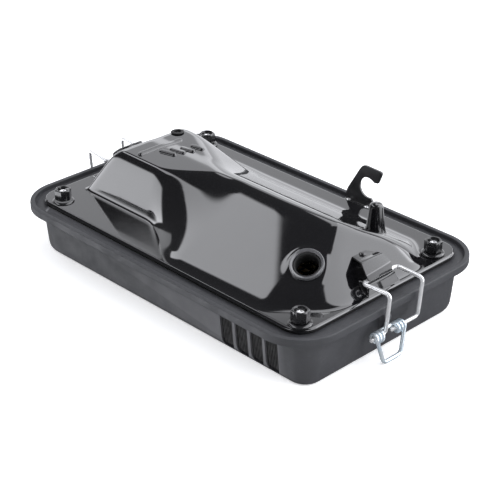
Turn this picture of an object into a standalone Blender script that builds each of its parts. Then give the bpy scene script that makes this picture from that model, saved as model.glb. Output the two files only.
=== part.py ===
"""Panel air filter housing for a small engine: tray, domed cover, filter stack and two wire latches."""
import math

import bmesh
import bpy
from mathutils import Matrix, Vector

MM = 0.001
GAP = 0.3

# plan: half lengths along X and Y, corner radius, or four radii from the +X +Y corner round
RIM = (135.0, 84.4, 30.0)
LIP = (131.8, 81.2, 27.0)
OPENING = (121.0, 70.5, 11.0)
WALL_TOP = (131.4, 77.0, (31.0, 26.0, 31.0, 15.0))
WALL_FOOT = (129.0, 74.5, (28.0, 22.0, 28.0, 11.0))
COVER = (123.4, 72.9, 14.0)

# levels above the underside of the tray
RIM_TOP = 33.0
RIM_LOW = 28.0
LEDGE = 30.6
FLOOR = 2.4
FLANGE = 34.2
SHELL = 2.2

STUDS = ((114.5, -64.4), (-103.9, -64.9), (113.6, 54.8), (-103.9, 64.9))
STUD_R = 2.95

PORT_AT = (89.7, -33.6, 51.4)
PORT_AXIS = (0.26, -0.45, 0.854)
PORT_R = 8.6
PORT_LIP_R = 10.6

PLUG_AT = (-78.6, 15.0)
PLATEAU = 67.6

WIRE_R = 1.15
BAR_AT = (118.0, 42.5)
COIL_AT = (137.3, 17.0)
COIL_R = 2.65
COIL_PITCH = 2.65

BRACKET_Y = 78.0

MATERIALS = {
    "tray_plastic": ((0.06, 0.064, 0.07), 0.0, 0.6),
    "cover_plastic": ((0.012, 0.012, 0.014), 0.0, 0.12),
    "black_paint": ((0.03, 0.03, 0.033), 0.2, 0.35),
    "zinc_steel": ((0.62, 0.66, 0.7), 1.0, 0.28),
    "bright_steel": ((0.8, 0.8, 0.8), 1.0, 0.25),
    "seal_rubber": ((0.02, 0.02, 0.02), 0.0, 0.8),
    "filter_rubber": ((0.02, 0.02, 0.021), 0.0, 0.7),
    "filter_paper": ((0.78, 0.7, 0.5), 0.0, 0.9),
    "foam": ((0.1, 0.1, 0.11), 0.0, 0.95),
    "screen_steel": ((0.55, 0.55, 0.55), 1.0, 0.4),
}


def clear_scene():
    for ob in list(bpy.data.objects):
        bpy.data.objects.remove(ob)


def make_collection(name):
    coll = bpy.data.collections.new(name)
    bpy.context.scene.collection.children.link(coll)
    return coll


def make_material(name):
    rgb, metallic, rough = MATERIALS[name]
    mat = bpy.data.materials.new(name)
    mat.use_nodes = True
    bsdf = mat.node_tree.nodes["Principled BSDF"]
    bsdf.inputs["Base Color"].default_value = (*rgb, 1.0)
    bsdf.inputs["Metallic"].default_value = metallic
    bsdf.inputs["Roughness"].default_value = rough
    mat.diffuse_color = (*rgb, 1.0)
    return mat


def add_object(name, bm, slot, coll, at=(0, 0, 0), turn=0.0):
    """Links a mesh built in millimetres as one named object."""
    bmesh.ops.recalc_face_normals(bm, faces=bm.faces)
    bmesh.ops.scale(bm, vec=(MM, MM, MM), verts=bm.verts)
    me = bpy.data.meshes.new(name)
    bm.to_mesh(me)
    bm.free()
    ob = bpy.data.objects.new(name, me)
    coll.objects.link(ob)
    ob.location = Vector(at) * MM
    ob.rotation_euler = (0, 0, turn)
    me.materials.append(MATS[slot])
    return ob


def cut(ob, bm, mode="DIFFERENCE"):
    """Applies one Boolean with a tool mesh given in millimetres in the object's own axes."""
    tool = add_object(ob.name + "_tool", bm, "tray_plastic", TOOLS)
    tool.matrix_world = ob.matrix_basis.copy()
    tool.hide_render = True
    tool.display_type = "WIRE"
    mod = ob.modifiers.new("cut", "BOOLEAN")
    mod.operation = mode
    mod.solver = "EXACT"
    mod.object = tool
    bpy.context.view_layer.update()
    deps = bpy.context.evaluated_depsgraph_get()
    me = bpy.data.meshes.new_from_object(ob.evaluated_get(deps))
    ob.modifiers.clear()
    old = ob.data
    ob.data = me
    me.name = old.name
    bpy.data.objects.remove(tool)


def apply_modifiers(ob):
    bpy.context.view_layer.update()
    deps = bpy.context.evaluated_depsgraph_get()
    me = bpy.data.meshes.new_from_object(ob.evaluated_get(deps))
    ob.modifiers.clear()
    ob.data = me


# ---------------------------------------------------------------- shape helpers

def round_rect(hx, hy, r, steps=5):
    pts = []
    radii = r if isinstance(r, tuple) else (r, r, r, r)
    for (cx, cy, a0), r in zip(((1, 1, 0), (-1, 1, 90), (-1, -1, 180), (1, -1, 270)), radii):
        for i in range(steps + 1):
            a = math.radians(a0 + 90.0 * i / steps)
            pts.append((cx * (hx - r) + r * math.cos(a), cy * (hy - r) + r * math.sin(a)))
    return pts


def inset(plan, by):
    hx, hy, radii = plan
    return hx - by, hy - by, tuple(r - by for r in radii)


def loft(sections, steps=5, closed=False):
    """Closed skin through rounded rectangles given as (hx, hy, r, z)."""
    bm = bmesh.new()
    rings = []
    for hx, hy, r, z in sections:
        rings.append([bm.verts.new((x, y, z)) for x, y in round_rect(hx, hy, r, steps)])
    count = len(rings[0])
    pairs = list(zip(rings, rings[1:]))
    if closed:
        pairs.append((rings[-1], rings[0]))
    for low, high in pairs:
        for i in range(count):
            j = (i + 1) % count
            bm.faces.new((low[i], low[j], high[j], high[i]))
    if not closed:
        bm.faces.new(list(reversed(rings[0])))
        bm.faces.new(rings[-1])
    return bm


def frame_ring(outer, inner, low, high):
    return loft((outer + (low,), outer + (high,), inner + (high,), inner + (low,)), closed=True)


def cylinder(r, low, high, at=(0, 0), segments=24, r_top=None):
    bm = bmesh.new()
    top = r if r_top is None else r_top
    bmesh.ops.create_cone(bm, cap_ends=True, segments=segments, radius1=r, radius2=top,
                          depth=high - low)
    bmesh.ops.translate(bm, vec=(at[0], at[1], (low + high) / 2), verts=bm.verts)
    return bm


def box(x0, x1, y0, y1, z0, z1):
    bm = bmesh.new()
    bmesh.ops.create_cube(bm, size=1.0)
    bmesh.ops.scale(bm, vec=(x1 - x0, y1 - y0, z1 - z0), verts=bm.verts)
    bmesh.ops.translate(bm, vec=((x0 + x1) / 2, (y0 + y1) / 2, (z0 + z1) / 2), verts=bm.verts)
    return bm


def turned(profile, segments=24):
    """Solid of revolution about Z from (radius, z) pairs running bottom axis to top axis."""
    bm = bmesh.new()
    rings = []
    for r, z in profile:
        if r < 1e-6:
            rings.append([bm.verts.new((0, 0, z))])
            continue
        rings.append([bm.verts.new((r * math.cos(2 * math.pi * i / segments),
                                    r * math.sin(2 * math.pi * i / segments), z))
                      for i in range(segments)])
    for a, b in zip(rings, rings[1:]):
        for i in range(segments):
            j = (i + 1) % segments
            quad = [a[i % len(a)], a[j % len(a)], b[j % len(b)], b[i % len(b)]]
            face = list(dict.fromkeys(quad))
            bm.faces.new(face)
    return bm


def ring_turned(profile, segments=24):
    """Ring solid of revolution about Z from a closed loop of (radius, z) pairs."""
    bm = bmesh.new()
    rings = []
    for r, z in profile:
        rings.append([bm.verts.new((r * math.cos(2 * math.pi * i / segments),
                                    r * math.sin(2 * math.pi * i / segments), z))
                      for i in range(segments)])
    for a, b in zip(rings, rings[1:] + rings[:1]):
        for i in range(segments):
            j = (i + 1) % segments
            bm.faces.new((a[i], a[j], b[j], b[i]))
    return bm


def move(bm, at):
    bmesh.ops.translate(bm, vec=at, verts=bm.verts)
    return bm


def aim(bm, axis, at):
    turn = Vector((0, 0, 1)).rotation_difference(Vector(axis).normalized()).to_matrix().to_4x4()
    bmesh.ops.transform(bm, matrix=Matrix.Translation(at) @ turn, verts=bm.verts)
    return bm


def slab(outline, y0, y1):
    """Plate with an X-Z outline, between two Y levels."""
    bm = bmesh.new()
    near = [bm.verts.new((x, y0, z)) for x, z in outline]
    far = [bm.verts.new((x, y1, z)) for x, z in outline]
    count = len(outline)
    for i in range(count):
        j = (i + 1) % count
        bm.faces.new((near[i], near[j], far[j], far[i]))
    bm.faces.new(near)
    bm.faces.new(list(reversed(far)))
    return bm


def rounded_path(points, radius, steps=4):
    """Polyline with its inner corners replaced by short arcs."""
    pts = [Vector(p) for p in points]
    out = [pts[0]]
    for a, b, c in zip(pts, pts[1:], pts[2:]):
        u = (a - b).normalized()
        v = (c - b).normalized()
        half = u.angle(v) / 2
        reach = min(radius / math.tan(half), (a - b).length * 0.49, (c - b).length * 0.49)
        start = b + u * reach
        end = b + v * reach
        for i in range(steps + 1):
            t = i / steps
            out.append(start * (1 - t) ** 2 + b * 2 * t * (1 - t) + end * t ** 2)
    out.append(pts[-1])
    return out


def wire(path, radius, cyclic=False):
    """Round wire along a path, as a mesh."""
    cu = bpy.data.curves.new("wire", "CURVE")
    cu.dimensions = "3D"
    cu.bevel_depth = radius
    cu.bevel_resolution = 2
    cu.use_fill_caps = not cyclic
    sp = cu.splines.new("POLY")
    sp.points.add(len(path) - 1)
    for p, v in zip(sp.points, path):
        p.co = (v[0], v[1], v[2], 1.0)
    sp.use_cyclic_u = cyclic
    ob = bpy.data.objects.new("wire", cu)
    TOOLS.objects.link(ob)
    bpy.context.view_layer.update()
    me = bpy.data.meshes.new_from_object(ob.evaluated_get(bpy.context.evaluated_depsgraph_get()))
    bm = bmesh.new()
    bm.from_mesh(me)
    bmesh.ops.remove_doubles(bm, verts=bm.verts, dist=0.01)
    bpy.data.objects.remove(ob)
    return bm


# ---------------------------------------------------------------- dome surface

def smin(a, b, k):
    h = max(k - abs(a - b), 0.0) / k
    return min(a, b) - h * h * k * 0.25


def smax(a, b, k):
    return -smin(-a, -b, k)


def smooth(t):
    t = min(max(t, 0.0), 1.0)
    return t * t * (3 - 2 * t)


def front_face(x, y):
    """Steep wall in front of the block that opens out into the long slope."""
    s = smooth((x + 46.0) / 58.0)
    foot = 43.0 * (1 - s) + 67.0 * s
    run = (1 - s) / 6.5 + s / 0.56
    return (y + foot) / run


def end_faces(x, y):
    """Sloping ends and the cut-off corners at the outlet end."""
    low = smin(0.95 * (118.5 - x), 1.3 * (x + 108.5), 5.0)
    low = smin(low, 0.85 * (110.8 - 0.707 * x + 0.707 * y), 8.0)
    return smin(low, 0.95 * (110.2 - 0.707 * x - 0.707 * y), 5.0)


def port_swell(x, y, height):
    """Turns the skin round the outlet port square to the port."""
    px, py, pz = PORT_AT
    ax, ay, az = PORT_AXIS
    far = math.hypot(x - px, y - py)
    flat = pz - FLANGE - 1.2 - (ax * (x - px) + ay * (y - py)) / az
    share = smooth((25.0 - far) / 14.0)
    return height + (flat - height) * share


def dome(x, y):
    """Height of the cover above its flange."""
    top = PLATEAU - FLANGE
    back = smin(0.55 * (57.0 - y), top, 4.0)
    block = smin(top, 1.06 * (56.5 - y), 6.0)
    block = smin(block, top - 0.419 * (x + 66.0) - 0.759 * (y - 24.0), 6.0)
    height = smax(block, back, 4.0)
    height = smin(height, front_face(x, y), 5.0)
    height = smin(height, end_faces(x, y), 5.0)
    height = port_swell(x, y, height)
    return smax(height, 0.0, 3.0)


def surface_at(x, y):
    """Point on the cover and the direction square to it."""
    step = 3.0
    dx = (dome(x + step, y) - dome(x - step, y)) / (2 * step)
    dy = (dome(x, y + step) - dome(x, y - step)) / (2 * step)
    return (x, y, FLANGE + dome(x, y)), (-dx, -dy, 1.0)


def corner_pull(x, y):
    """Moves grid points of the square corners onto the rounded ones."""
    hx, hy, r = COVER
    u = (abs(x) - (hx - r)) / r
    v = (abs(y) - (hy - r)) / r
    if u <= 0 or v <= 0:
        return x, y
    nx = hx - r + r * u * math.sqrt(1 - v * v / 2)
    ny = hy - r + r * v * math.sqrt(1 - u * u / 2)
    return math.copysign(nx, x), math.copysign(ny, y)


# ---------------------------------------------------------------- tray

def build_tray(coll):
    foot = inset(WALL_FOOT, 2.2)
    inner_top = inset(WALL_TOP, 2.2)
    inner_foot = inset(WALL_FOOT, 2.4)
    bm = loft((foot + (0.0,), inset(WALL_FOOT, 0.6) + (0.7,),
               WALL_FOOT + (2.4,), WALL_TOP + (RIM_LOW,), RIM + (RIM_LOW,), RIM + (RIM_TOP - 0.6,),
               (RIM[0] - 0.6, RIM[1] - 0.6, RIM[2] - 0.6, RIM_TOP), LIP + (RIM_TOP,), LIP + (LEDGE,),
               OPENING + (LEDGE,), OPENING + (RIM_LOW,), inner_top + (RIM_LOW,),
               inner_foot + (FLOOR,)), steps=6)
    ob = add_object("tray", bm, "tray_plastic", coll)
    cut(ob, frame_ring((118.0, 67.0, 9.0), (115.6, 64.6, 7.0), FLOOR - 0.4, 8.0), "UNION")
    for y in (-30.0, 0.0, 30.0):
        cut(ob, box(-110.0, 110.0, y - 1.2, y + 1.2, FLOOR - 0.4, 4.6), "UNION")
    for x0, x1 in ((59.4, 69.8), (72.2, 82.5), (84.9, 95.1), (97.2, 107.8)):
        cut(ob, box(x0, x1, -90.0, -66.8, 1.4, RIM_LOW - 0.6))
    for side in (0.0, math.pi):
        cut(ob, latch_lug(side), "UNION")
    for x in (24.0, 40.0):
        cut(ob, cylinder(1.2, 28.2, 40.0, (x, 75.6), 16))
    return ob


def latch_lug(turn):
    """Nose on the short wall that the pivot bar of the lever hooks under."""
    outline = ((129.6, 14.8), (132.0, 15.4), (133.7, 19.2), (135.9, 23.9), (135.9, 25.6),
               (133.6, RIM_LOW + 0.3), (129.6, RIM_LOW + 0.3))
    bm = slab(outline, -13.9, -8.9)
    bmesh.ops.rotate(bm, cent=(0, 0, 0), matrix=Matrix.Rotation(turn, 3, "Z"), verts=bm.verts)
    return bm


# ---------------------------------------------------------------- cover

def cover_skin():
    hx, hy, _ = COVER
    bm = bmesh.new()
    bmesh.ops.create_grid(bm, x_segments=42, y_segments=26, size=0.5)
    for v in bm.verts:
        x, y = corner_pull(v.co.x * 2 * hx, v.co.y * 2 * hy)
        v.co = (x, y, FLANGE + dome(x, y))
    return bm


def latch_step(sign):
    """Moulded step under the bar of the bail."""
    x0, x1 = sorted((sign * 100.0, sign * 121.6))
    return box(x0, x1, -13.8, 13.8, FLANGE - 1.0, 40.9)


def clip_seat(sign):
    x0, x1 = sorted((sign * 98.0, sign * 107.6))
    y0, y1 = sorted((sign * -8.0, sign * 6.0))
    return box(x0, x1, y0, y1, 40.0, 49.2)


def build_cover(coll):
    ob = add_object("cover", cover_skin(), "cover_plastic", coll)
    if ob.data.polygons[0].normal.z < 0:
        ob.data.flip_normals()
    mod = ob.modifiers.new("shell", "SOLIDIFY")
    mod.thickness = SHELL * MM
    mod.offset = -1.0
    apply_modifiers(ob)
    for sign in (1.0, -1.0):
        cut(ob, latch_step(sign), "UNION")
        cut(ob, clip_seat(sign), "UNION")
        cut(ob, cylinder(1.35, 45.0, 60.0, (sign * 104.6, -sign), 16))
    cut(ob, cylinder(6.6, 40.0, 63.0, (80.0, 38.5), 16, 3.6), "UNION")
    cut(ob, aim(cylinder(PORT_LIP_R, -8.0, 0.6), PORT_AXIS, PORT_AT), "UNION")
    cut(ob, aim(cylinder(PORT_R, -20.0, 8.0), PORT_AXIS, PORT_AT))
    for at in STUDS:
        cut(ob, cylinder(4.2, 30.2, FLANGE - 1.0, at), "UNION")
        cut(ob, cylinder(STUD_R + GAP, 20.0, 45.0, at))
        cut(ob, cylinder(7.9, FLANGE + 0.06, 48.0, at))
    point, normal = surface_at(*PLUG_AT)
    cut(ob, aim(cylinder(3.4, -12.0, 12.0, segments=16), normal, point))
    return ob


def build_cover_fittings(coll):
    profile = ((8.3, -9.5), (8.3, -0.6), (7.4, -0.6), (7.0, -1.4), (7.0, -9.5))
    grommet = aim(ring_turned(profile), PORT_AXIS, PORT_AT)
    bmesh.ops.translate(grommet, vec=(-PORT_AT[0], -PORT_AT[1], -PORT_AT[2]), verts=grommet.verts)
    add_object("port_grommet", grommet, "seal_rubber", coll, PORT_AT)
    point, normal = surface_at(*PLUG_AT)
    plug = turned(((0, -5.4), (3.1, -5.0), (3.1, 0.7), (4.6, 0.7), (4.4, 1.6), (2.9, 2.1),
                   (2.2, 1.3), (0, 1.3)), 20)
    add_object("top_plug", aim(plug, normal, (0, 0, 0)), "seal_rubber", coll, point)


# ---------------------------------------------------------------- fastenings

def build_fastener(coll, number, at):
    here = (at[0], at[1], 0)
    stud = turned(((0, 26.3), (5.0, 26.3), (5.0, 27.5), (STUD_R, 27.5), (STUD_R, 41.6),
                   (STUD_R - 0.7, 42.3), (0, 42.3)))
    add_object("stud_%d" % number, stud, "bright_steel", coll, here)
    washer = ring_turned(((3.3, 34.5), (7.4, 34.5), (7.4, 35.7), (6.6, 36.1), (3.3, 36.1)))
    add_object("washer_%d" % number, washer, "black_paint", coll, here)
    nut = add_object("nut_%d" % number, hex_nut(), "black_paint", coll, here)
    cut(nut, cylinder(STUD_R + GAP, 30.0, 50.0, segments=20))
    cut(nut, cylinder(STUD_R, 41.9, 44.7, segments=20, r_top=5.2))


def hex_nut():
    bm = bmesh.new()
    bmesh.ops.create_cone(bm, cap_ends=True, segments=6, radius1=5.77, radius2=5.77, depth=7.4)
    bmesh.ops.translate(bm, vec=(0, 0, 40.1), verts=bm.verts)
    rim = [e for e in bm.edges if all(v.co.z > 43 for v in e.verts)]
    bmesh.ops.bevel(bm, geom=rim, offset=0.7, segments=1, affect="EDGES")
    return bm


# ---------------------------------------------------------------- hook bracket

def hook_outline():
    cx, cz, r = 39.0, 45.7, 7.3
    pts = [(20.0, 31.2), (20.0, 38.0), (31.6, 57.6), (33.4, 60.0), (36.0, 61.0), (50.2, 60.6), (50.6, 59.0),
           (47.6, 51.6), (46.4, 51.4)]
    for i in range(13):
        a = math.radians(46.0 + (282.0 - 46.0) * i / 12)
        pts.append((cx + r * math.cos(a), cz + r * math.sin(a)))
    pts += [(42.6, 38.0), (44.0, 35.4), (44.0, 31.2)]
    return pts


def build_bracket(coll):
    plate = slab(hook_outline(), BRACKET_Y - 0.8, BRACKET_Y + 0.8)
    ob = add_object("hook_bracket", plate, "black_paint", coll)
    cut(ob, box(20.0, 44.0, 73.4, BRACKET_Y, 30.9, 32.2), "UNION")
    for i, x in enumerate((24.0, 40.0)):
        cut(ob, cylinder(1.2, 20.0, 34.0, (x, 75.6), 16))
        rivet = turned(((0, 28.5), (0.95, 28.7), (0.95, 32.5), (1.6, 32.5),
                        (1.4, 33.2), (0, 33.5)), 16)
        add_object("bracket_rivet_%d" % (i + 1), rivet, "bright_steel", coll, (x, 75.6, 0))


# ---------------------------------------------------------------- latches

CLIP_ROWS = ((102.2, 50.9, -8.6, 6.4), (114.4, 52.4, -10.6, 7.0), (119.6, 46.6, -13.2, 9.4),
             (120.6, 43.2, -13.2, 9.4))


def clip_sheet():
    bm = bmesh.new()
    rows = [(bm.verts.new((x, y0, z)), bm.verts.new((x, y1, z))) for x, z, y0, y1 in CLIP_ROWS]
    for a, b in zip(rows, rows[1:]):
        bm.faces.new((a[0], b[0], b[1], a[1]))
    return bm


def build_clip(coll, side, turn):
    """Bent sheet that traps the bar of the bail against the step on the cover."""
    bm = clip_sheet()
    ob = add_object("hinge_clip_" + side, bm, "black_paint", coll, (0, 0, 0), turn)
    if ob.data.polygons[0].normal.z < 0:
        ob.data.flip_normals()
    mod = ob.modifiers.new("sheet", "SOLIDIFY")
    mod.thickness = 1.1 * MM
    mod.offset = -1.0
    mod.use_even_offset = True
    apply_modifiers(ob)
    cut(ob, cylinder(1.35, 40.0, 60.0, (104.6, -1.0), 16))
    rivet = turned(((0, 45.6), (1.0, 45.6), (1.0, 51.45), (2.2, 51.45), (1.8, 52.2), (0, 52.5)), 16)
    move(rivet, (104.6, -1.0, 0))
    add_object("clip_rivet_" + side, rivet, "black_paint", coll, (0, 0, 0), turn)


def bail_path():
    bx, bz = BAR_AT
    cx, cz = COIL_AT
    far = [(cx, -10.4, cz), (cx, 13.6, cz), (cx + 2.4, 13.6, 43.6), (bx, 15.6, bz)]
    near = [(bx, -15.6, bz), (cx + 2.4, -15.6, 43.6), (cx, -15.6, cz), (cx, -28.4, cz)]
    return [Vector((x - bx, y, z - bz)) for x, y, z in rounded_path(far + near, 2.6)]


def coil(y0, y1, start, end, steps=12):
    count = int(abs(end - start) / 360.0 * steps)
    pts = []
    for i in range(count + 1):
        t = i / count
        a = math.radians(start + (end - start) * t)
        pts.append((COIL_R * math.cos(a), y0 + (y1 - y0) * t, COIL_R * math.sin(a)))
    return pts


def lever_path():
    """One closed wire: pivot bar, near coil, finger loop, far coil."""
    start = 140.0
    end = start - 360.0 * 2 - 134.0
    reach = COIL_PITCH * (start - end) / 360.0
    near = coil(-19.6, -19.6 - reach, start, end)
    far = coil(-7.6, -7.6 + reach, start, end)
    foot = rounded_path([near[-1], (4.7, -21.6, -16.0), (4.7, -6.4, -16.0), far[-1]], 2.6)
    return near + [tuple(p) for p in foot[1:-1]] + list(reversed(far))


def build_latch(coll, side, turn):
    sign = 1.0 if side == "right" else -1.0
    add_object("bail_" + side, wire(bail_path(), WIRE_R), "bright_steel", coll,
               (sign * BAR_AT[0], 0, BAR_AT[1]), turn)
    add_object("lever_" + side, wire(lever_path(), WIRE_R, cyclic=True), "zinc_steel", coll,
               (sign * COIL_AT[0], 0, COIL_AT[1]), turn)
    build_clip(coll, side, turn)


# ---------------------------------------------------------------- filter stack

def pleat_sheet(half_x, half_y, low, high, count, thick):
    outline_top = []
    outline_low = []
    for i in range(2 * count + 1):
        x = -half_x + i * half_x / count
        z = high - thick if i % 2 else low + thick
        outline_top.append((x, z + thick))
        outline_low.append((x, z - thick))
    return slab(outline_top + list(reversed(outline_low)), -half_y, half_y)


def build_filter(coll):
    frame = frame_ring((119.6, 68.8, 10.0), (107.0, 56.0, 0.8), 8.3, 26.0)
    add_object("filter_frame", frame, "filter_rubber", coll)
    add_object("filter_pleats", pleat_sheet(106.5, 55.5, 9.6, 24.9, 22, 0.9), "filter_paper", coll)
    pad = loft(((113.6, 62.6, 5.0, 4.9), (113.6, 62.6, 5.0, 8.0)))
    add_object("foam_prefilter", pad, "foam", coll)
    screen = add_object("filter_screen", loft(((106.6, 55.6, 4.0, 25.2), (106.6, 55.6, 4.0, 26.0))),
                        "screen_steel", coll)
    for ix in range(9):
        for y in (-27.5, 27.5):
            x = -92.0 + ix * 23.0
            cut(screen, move(loft(((9.5, 24.0, 2.0, 20.0), (9.5, 24.0, 2.0, 30.0)), 2), (x, y, 0)))
    clamp = add_object("clamp_frame", frame_ring((120.6, 70.1, 11.0), (102.0, 51.0, 6.0), 27.8, 29.8),
                       "black_paint", coll)
    for x in (-34.0, 34.0):
        cut(clamp, box(x - 4.0, x + 4.0, -53.0, 53.0, 27.8, 29.8), "UNION")
    for at in STUDS:
        cut(clamp, cylinder(STUD_R + GAP, 20.0, 40.0, at))
    seal = frame_ring((122.9, 72.4, 13.4), (121.3, 70.8, 11.8), 30.9, 31.7)
    add_object("rim_seal", seal, "seal_rubber", coll)


# ---------------------------------------------------------------- assembly

clear_scene()
HOUSING = make_collection("air_filter_housing")
TOOLS = make_collection("tools")
MATS = {name: make_material(name) for name in MATERIALS}

build_tray(HOUSING)
build_cover(HOUSING)
build_cover_fittings(HOUSING)
for index, place in enumerate(STUDS):
    build_fastener(HOUSING, index + 1, place)
build_bracket(HOUSING)
build_latch(HOUSING, "right", 0.0)
build_latch(HOUSING, "left", math.pi)
build_filter(HOUSING)
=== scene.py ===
import math

import bmesh
import bpy
import numpy as np
from mathutils import Matrix, Vector


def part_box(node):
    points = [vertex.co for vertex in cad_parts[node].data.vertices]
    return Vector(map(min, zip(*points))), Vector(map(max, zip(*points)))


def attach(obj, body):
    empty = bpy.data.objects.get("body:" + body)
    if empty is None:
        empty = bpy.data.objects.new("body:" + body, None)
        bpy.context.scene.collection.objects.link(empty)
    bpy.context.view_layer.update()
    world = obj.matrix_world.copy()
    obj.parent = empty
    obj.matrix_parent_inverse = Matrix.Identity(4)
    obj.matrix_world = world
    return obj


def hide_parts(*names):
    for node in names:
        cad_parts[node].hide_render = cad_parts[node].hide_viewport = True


# Looks of the panel air filter housing: fine mouldings, fastenings, wire latches and finishes,
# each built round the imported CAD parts. Sizes are millimetres in the CAD frame until add_piece.

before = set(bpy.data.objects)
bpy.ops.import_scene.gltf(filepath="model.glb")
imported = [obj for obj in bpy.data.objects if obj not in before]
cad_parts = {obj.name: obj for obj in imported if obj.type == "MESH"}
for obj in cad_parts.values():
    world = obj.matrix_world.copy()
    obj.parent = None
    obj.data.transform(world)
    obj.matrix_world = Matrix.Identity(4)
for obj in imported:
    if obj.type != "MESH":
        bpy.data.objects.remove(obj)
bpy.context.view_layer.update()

MM = 0.001

# plan sizes: half length X, half length Y, corner radius; the tray walls have four radii,
# from the +X +Y corner round
RIM = (135.0, 84.4, 30.0)
LIP = (131.8, 81.2, 27.0)
OPENING = (121.0, 70.5, 11.0)
WALL_TOP = (131.4, 77.0, 31.0, 26.0, 31.0, 15.0)
WALL_FOOT = (129.0, 74.5, 28.0, 22.0, 28.0, 11.0)
COVER = (123.4, 72.9, 14.0)
WALL = 2.2

# levels above the underside of the tray
RIM_TOP = 33.0
RIM_LOW = 28.0
LEDGE = 30.6
FLOOR = 2.4
FLANGE = 34.2
PLATEAU = 67.6
SHELL = 2.2

# where the faces of the cover meet its flange, from the middle of the housing, and where along X
# the wall in front of the block turns into the long slope
LEFT_END = -108.5
RIGHT_END = 118.5
BACK_FOOT = 57.0
BLOCK_FOOT = 56.5
WALL_FRONT = 43.0
SLOPE_FRONT = 67.0
TURN_START = -46.0
TURN_LENGTH = 58.0

# rise over run of the faces of the cover
WALL_STEEP = 3.9
SLOPE_STEEP = 0.56
BACK_STEEP = 0.55
BLOCK_BACK_STEEP = 1.06
LEFT_STEEP = 1.5
RIGHT_STEEP = 0.95

# shoulder that falls from the block to the ridge: its slope along X and Y, and a point on it
SHOULDER_FALL = (0.419, 0.759)
SHOULDER_AT = (-66.0, 24.0)

# faces that cut off the corners at the outlet end
CORNER_TURN = 0.707
FRONT_CORNER = (0.85, 110.8)
BACK_CORNER = (0.95, 110.2)

# moulded steps under each latch, as raised_step takes them
BAR_STEP = dict(inner=98.0, outer=121.7, half=13.9, steep=3.5, top=6.7, soft=1.6)
CLIP_STEP = dict(inner=96.0, outer=108.0, half=7.6, steep=5.0, top=15.0, soft=1.0)

# how the cover's rim turns down, and the grid steps that draw it
EDGE_DROP = 1.25
EDGE_STEPS = (0.0, 0.12, 0.3, 0.7, 1.1, 1.5, 1.8, 2.1, 2.4)

# left and right edge of each louvre slot
SLOT_EDGES = ((59.4, 69.8), (72.2, 82.5), (84.9, 95.1), (97.2, 107.8))
SLAT_HALF = 0.36
SLAT_DEPTH = 1.6
SLATS_PER_SLOT = 8
RIB_ROWS = (-30.0, 0.0, 30.0)

# outlet port, and how far out the skin round it stays square to it before it blends back
PORT_AT = (89.7, -33.6, 51.4)
PORT_AXIS = (0.26, -0.45, 0.854)
PORT_R = 8.6
PORT_LIP_R = 10.6
PORT_FLAT_R = 9.0
PORT_BLEND_R = 15.0
PORT_SINK = 1.2
POST_AT = (80.0, 38.5)

# fastenings; the mirror image of the muted stud stays out of the block's front wall
STUDS = range(1, 5)
STUD_R = 2.95
SPOT_R = 7.6
NUT_FLATS = 10.0
NUT_TURN = 0.35
THREAD_DEPTH = 0.32
MUTED_STUD = 2

# latches: the bar held in the clip, and the pivot bar with the coils of the lever round it
WIRE_R = 1.28
BAR_AT = (118.0, 42.5)
COIL_AT = (137.3, 17.0)
COIL_R = 2.65
COIL_PITCH = 2.65
COIL_TURNS = 2.0
CLIP_SHEET = 1.1

# hook bracket
HOOK_EYE = (39.0, 45.7)
HOOK_EYE_R = 7.3
BRACKET_Y = 78.0
BRACKET_SHEET = 1.6

# filter element: its folds, and the mesh of its support screen
FOLDS = 44
FOLDED_HALF = 106.2
PAPER_HALF = 0.35
SCREEN_PITCH = 6.0
SCREEN_BAR = 0.55
SCREEN_LEVELS = (25.25, 25.95)

# camera: its place in metres, its bearing and height round the object, its roll and its lens
CAMERA_AT = Vector((0.6184, -0.5934, 0.4784))
CAMERA_BEARING = math.radians(45.856)
CAMERA_HEIGHT = math.radians(28.486)
CAMERA_ROLL = math.radians(-0.113)
CAMERA_LENS = 107.33

# light panels: the wall of the studio, the span across, the span up that wall or away
# on the ceiling, and the power
LIGHTS = {
    "ceiling_left": ("ceiling", (-0.98, -0.555), (-0.6, 1.2), 2.85),
    "ceiling_right": ("ceiling", (0.36, 2.4), (-0.8, 1.3), 2.9),
    "ceiling_back": ("ceiling", (0.02, 0.36), (0.5, 1.3), 2.0),
    "low_left": ("left", (-0.75, 0.6), (-0.75, 0.1), 3.3),
    "backdrop": ("far", (-1.2, 1.2), (-0.6, 0.62), 0.85),
    "backdrop_strip": ("far", (-0.7, 0.7), (0.16, 0.36), 0.75),
    "right": ("right", (-0.9, 1.0), (-0.3, 0.6), 2.2),
}
AMBIENT = 0.085
MATT_FILL = 0.58
GLOW_TINT = (0.95, 0.96, 1.0, 1.0)
FLOOR_DROP = 0.4
FLOOR_HALF = 6.0
FLOOR_GLOW = 0.45


def node_centre(name):
    """Middle of a CAD node's box, in millimetres."""
    low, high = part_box(name)
    return (low + high) / 2 / MM


# ---------------------------------------------------------------- mesh helpers

def soften(points, radius, steps=5):
    """Polyline of any dimension with its inner corners rounded off."""
    pts = [np.array(p, float) for p in points]
    radii = radius if isinstance(radius, (list, tuple)) else [radius] * (len(pts) - 2)
    out = [pts[0]]
    for (a, b, c), r in zip(zip(pts, pts[1:], pts[2:]), radii):
        u = a - b
        v = c - b
        reach = min(r, np.linalg.norm(u) * 0.49, np.linalg.norm(v) * 0.49)
        start = b + u / np.linalg.norm(u) * reach
        end = b + v / np.linalg.norm(v) * reach
        for i in range(steps + 1):
            t = i / steps
            out.append(start * (1 - t) ** 2 + b * 2 * t * (1 - t) + end * t ** 2)
    out.append(pts[-1])
    return out


def soften_loop(points, radius, steps=4):
    """Closed outline with every corner rounded off."""
    pts = list(points)
    path = soften([pts[-1]] + pts + [pts[0]], radius, steps)
    return path[1:-1]


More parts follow.
